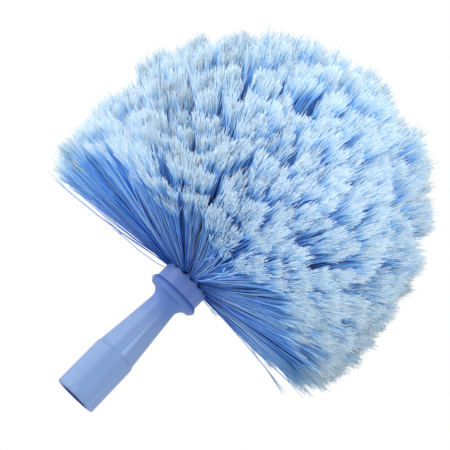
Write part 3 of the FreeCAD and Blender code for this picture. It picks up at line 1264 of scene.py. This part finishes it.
@dataclass
class TuftedHead:
    """The dome of bristle tufts, one piece for each tuft.

    Args:
        tilt_bearing: the bearing of the side where the lowest bristles stand higher, in degrees.
        tilt: how much higher their tips stand there than in the middle, in metres.
        swag_bearing: the bearing where they stand higher, with the opposite side, than across, in degrees.
        swag: how much higher than in the middle, in metres.
        lean_bearing: the bearing of the side that the bristles lean to, in degrees.
        lean: how far their tips lean, in metres.
        left_parting: the bearing at the front left where the lowest bristles lie aside, in degrees.
        left_turn: how far round they lie there, in degrees.
        right_parting: the same bearing at the front right.
        right_turn: how far round they lie there.
        parting_lift: how much higher the bristles over a parting stand, in metres.
    """

    tilt_bearing: float = -60.0
    tilt: float = 0.004
    swag_bearing: float = -135.0
    swag: float = 0.0076
    lean_bearing: float = 135.0
    lean: float = 0.0045
    left_parting: float = 180.0
    left_turn: float = -30.0
    right_parting: float = -84.0
    right_turn: float = 22.0
    parting_lift: float = 0.01

    SEED_STEP: ClassVar[int] = 100
    KEPT_ATTRIBUTES: ClassVar[Tuple[str, ...]] = (
        "position",
        BRISTLE_MAP,
        "material_index",
        "sharp_face",
        "custom_normal",
    )

    def mouths(self) -> Dict[str, Vector]:
        """Finds the middle of each tuft's hole on the dome.

        Returns:
            The place of the hole's mouth for every tuft's node.
        """
        found = {joint["child"]: Vector(joint["pos_m"]) for joint in frame["joints"]}
        found["tuft_crown"] = Vector((0.0, 0.0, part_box("tuft_dome")[1].z))
        return found

    def dome_centre(self) -> Vector:
        """The middle of the dome's ball."""
        low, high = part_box("tuft_dome")
        return Vector((0.0, 0.0, high.z - (high.x - low.x) / 2))

    def build(self) -> List[bpy.types.Object]:
        """Grows every tuft, sets it on its body and hides its solid.

        Returns:
            The pieces.
        """
        tree = TuftTree()
        bristle = BRISTLE.material()
        pieces = []
        for number, (node, mouth) in enumerate(sorted(self.mouths().items())):
            piece = self._grown(tree, node, self._given(number, mouth, bristle))
            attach(piece, body_of(frame["nodes"][node])[0])
            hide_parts(node)
            LOG.info("%s: %d faces", piece.name, len(piece.data.polygons))
            pieces.append(piece)
        return pieces

    def _given(self, number: int, mouth: Vector, bristle: bpy.types.Material) -> Dict[str, Any]:
        """Works out the tree's inputs for one tuft.

        Args:
            number: the tuft's number, for its seed.
            mouth: the middle of its hole.
            bristle: its material.

        Returns:
            The inputs by name.
        """
        spread, top = cad_box[1][0], cad_box[1][2]
        return {
            **TuftTree.NUMBERS,
            **TuftTree.COUNTS,
            "Seed": self.SEED_STEP * number,
            "Hole mouth": mouth,
            "Tuft axis": (mouth - self.dome_centre()).normalized(),
            "Spread radius": spread,
            "Round height": top - spread,
            "Tilt": level_direction(self.tilt_bearing) * self.tilt,
            "Swag": level_direction(self.swag_bearing) * self.swag,
            "Lean": level_direction(self.lean_bearing) * self.lean,
            "Left parting": level_direction(self.left_parting),
            "Left turn": math.radians(self.left_turn),
            "Right parting": level_direction(self.right_parting),
            "Right turn": math.radians(self.right_turn),
            "Parting lift": self.parting_lift,
            "Bristle": bristle,
        }

    def _grown(self, tree: TuftTree, node: str, given: Mapping[str, Any]) -> bpy.types.Object:
        """Runs the tree on a copy of a tuft's solid and makes the result a plain mesh.

        Args:
            tree: the tree that grows a tuft.
            node: the tuft's node.
            given: the tree's inputs by name.

        Returns:
            The new piece.
        """
        seed = bpy.data.objects.new("seed_" + node, frame["nodes"][node].data.copy())
        bpy.context.scene.collection.objects.link(seed)
        modifier = seed.modifiers.new("grow", "NODES")
        modifier.node_group = tree.group
        for name, value in given.items():
            modifier[tree.identifiers[name]] = value[:] if isinstance(value, Vector) else value
        graph = bpy.context.evaluated_depsgraph_get()
        mesh = bpy.data.meshes.new_from_object(seed.evaluated_get(graph))
        bpy.data.objects.remove(seed)
        for name in [item.name for item in mesh.attributes]:
            if name not in self.KEPT_ATTRIBUTES and not name.startswith("."):
                mesh.attributes.remove(mesh.attributes[name])
        piece = bpy.data.objects.new(node.replace("tuft", "bristles"), mesh)
        bpy.context.scene.collection.objects.link(piece)
        return piece


@dataclass(frozen=True)
class Lamp:
    """A soft square lamp.

    Args:
        name: its name.
        offset: where it stands from what it points at, as right, up and towards the camera, in metres.
        size: its width, in metres.
        power: its power, in watts.
    """

    name: str
    offset: Tuple[float, float, float]
    size: float
    power: float


@dataclass
class Studio:
    """The camera, the floor, the soft lights and the white surround.

    Args:
        distance: how far the camera stands from the brush's axis, in metres.
        bearing: the camera's bearing round the axis, in degrees.
        height: the camera's height, in metres.
        pitch: how far it looks up, in degrees.
        roll: how far the brush leans over in the picture, in degrees.
        aside: how far the camera stands to the left of the axis, in metres.
        lens: its focal length on the sensor, in millimetres.
        sensor: the sensor's width, in millimetres.
        floor_height: the floor's height, in metres.
        floor_size: the floor's width, in metres.
        floor_pale: the floor's colour.
        floor_white: its colour in its palest spots.
        ambient: the strength of the surrounding light on the object.
        aim_height: the height on the brush's axis that the lamps point at, in metres.
        lamps: the lamps.
    """

    distance: float = 3.0
    bearing: float = -135.0
    height: float = -0.22
    pitch: float = 6.68
    roll: float = 44.15
    aside: float = 0.0066
    lens: float = 420.0
    sensor: float = 36.0
    floor_height: float = -0.45
    floor_size: float = 12.0
    floor_pale: Colour = srgb(238, 239, 241)
    floor_white: Colour = srgb(244, 245, 246)
    ambient: float = 0.7
    aim_height: float = 0.17
    lamps: Tuple[Lamp, ...] = (
        Lamp("key", (-0.75, 0.2, 0.45), 0.5, 3.6),
        Lamp("fill", (0.2, 0.4, 0.65), 0.6, 3.2),
        Lamp("top", (-0.1, 0.8, -0.1), 0.7, 2.8),
        Lamp("left_rim", (-0.7, -0.1, -0.1), 0.5, 1.6),
        Lamp("right_rim", (0.7, -0.15, 0.05), 0.5, 0.8),
    )

    MOTTLE_SCALE: ClassVar[float] = 6.0
    MOTTLE_DETAIL: ClassVar[float] = 2.0
    FLOOR_ROUGHNESS: ClassVar[float] = 0.85

    def axes(self) -> Tuple[Vector, Vector, Vector]:
        """The camera's directions before it is rolled.

        Returns:
            Unit vectors to the right, up and forward.
        """
        pitch = math.radians(self.pitch)
        level = -level_direction(self.bearing)
        forward = level * math.cos(pitch) + Vector((0.0, 0.0, math.sin(pitch)))
        right = level.cross(Vector(UP))
        return right, right.cross(forward), forward

    def place(self) -> Vector:
        """The camera's place.

        Returns:
            Its place in the part's frame.
        """
        right = self.axes()[0]
        out = level_direction(self.bearing) * self.distance
        return out + Vector((0.0, 0.0, self.height)) - right * self.aside

    def add_camera(self) -> None:
        """Sets up the camera."""
        right, up, forward = self.axes()
        roll = math.radians(self.roll)
        rolled_up = up * math.cos(roll) - right * math.sin(roll)
        rolled_right = right * math.cos(roll) + up * math.sin(roll)
        data = bpy.data.cameras.new("camera")
        data.lens = self.lens
        data.sensor_width = self.sensor
        camera = bpy.data.objects.new("camera", data)
        camera.matrix_world = matrix_of(rolled_right, rolled_up, -forward, self.place())
        bpy.context.scene.collection.objects.link(camera)
        bpy.context.scene.camera = camera

    def add_lamp(self, lamp: Lamp) -> None:
        """Sets up one lamp.

        Args:
            lamp: the lamp.
        """
        right, up, forward = self.axes()
        aim = Vector((0.0, 0.0, self.aim_height))
        along_right, along_up, nearer = lamp.offset
        place = aim + right * along_right + up * along_up - forward * nearer
        data = bpy.data.lights.new(lamp.name, "AREA")
        data.size = lamp.size
        data.energy = lamp.power
        made = bpy.data.objects.new(lamp.name, data)
        back = (place - aim).normalized()
        side = back.orthogonal().normalized()
        made.matrix_world = matrix_of(side, back.cross(side), back, place)
        bpy.context.scene.collection.objects.link(made)

    def add_world(self) -> None:
        """Makes the surround white to the camera and in reflections, and soft light on the object."""
        world = bpy.data.worlds.new("surround")
        world.use_nodes = True
        world.node_tree.nodes.clear()
        graph = NodeGraph(world.node_tree)
        rays = graph.node("ShaderNodeLightPath")
        seen = graph.out(rays, "Is Camera Ray")
        for kind in ("Is Glossy Ray", "Is Transmission Ray"):
            seen = seen.at_least(graph.out(rays, kind))
        strength = self.ambient + (1 - self.ambient) * seen
        sockets = {"Color": (1.0, 1.0, 1.0, 1.0), "Strength": strength}
        light = graph.wire("ShaderNodeBackground", "Background", None, sockets)
        graph.node("ShaderNodeOutputWorld", None, {"Surface": light})
        bpy.context.scene.world = world

    def add_floor(self) -> None:
        """Lays a plain pale floor below the brush."""
        half = self.floor_size / 2
        corners = [(-half, -half), (half, -half), (half, half), (-half, half)]
        mesh = bpy.data.meshes.new("floor")
        mesh.from_pydata([(x, y, self.floor_height) for x, y in corners], [], [(0, 1, 2, 3)])
        material = bpy.data.materials.new("floor")
        material.use_nodes = True
        material.node_tree.nodes.clear()
        graph = NodeGraph(material.node_tree)
        place = graph.wire("ShaderNodeTexCoord", "Object")
        mottle = graph.noise(place, self.MOTTLE_SCALE, self.MOTTLE_DETAIL)
        colour = graph.mix(mottle, self.floor_pale, self.floor_white)
        sockets = {"Base Color": colour, "Roughness": self.FLOOR_ROUGHNESS}
        surface = graph.wire("ShaderNodeBsdfPrincipled", "BSDF", None, sockets)
        graph.node("ShaderNodeOutputMaterial", None, {"Surface": surface})
        mesh.materials.append(material)
        floor = bpy.data.objects.new("floor", mesh)
        bpy.context.scene.collection.objects.link(floor)

    def build(self) -> None:
        """Sets up the whole studio."""
        scene = bpy.context.scene
        scene.view_settings.view_transform = "Standard"
        self.add_world()
        self.add_floor()
        self.add_camera()
        for lamp in self.lamps:
            self.add_lamp(lamp)


def matrix_of(right: Vector, up: Vector, back: Vector, place: Vector) -> Matrix:
    """Makes an object's matrix from its axes.

    Args:
        right: its X axis.
        up: its Y axis.
        back: its Z axis.
        place: its origin.

    Returns:
        The four by four matrix.
    """
    rows = [[right[row], up[row], back[row], place[row]] for row in range(3)]
    return Matrix(rows + [[0.0, 0.0, 0.0, 1.0]])


def main() -> None:
    """Dresses the brush and sets up its studio."""
    logging.basicConfig(level=logging.INFO, format="%(message)s")
    RigidHead().dress()
    TuftedHead().build()
    Studio().build()


if __name__ == "__main__":
    main()
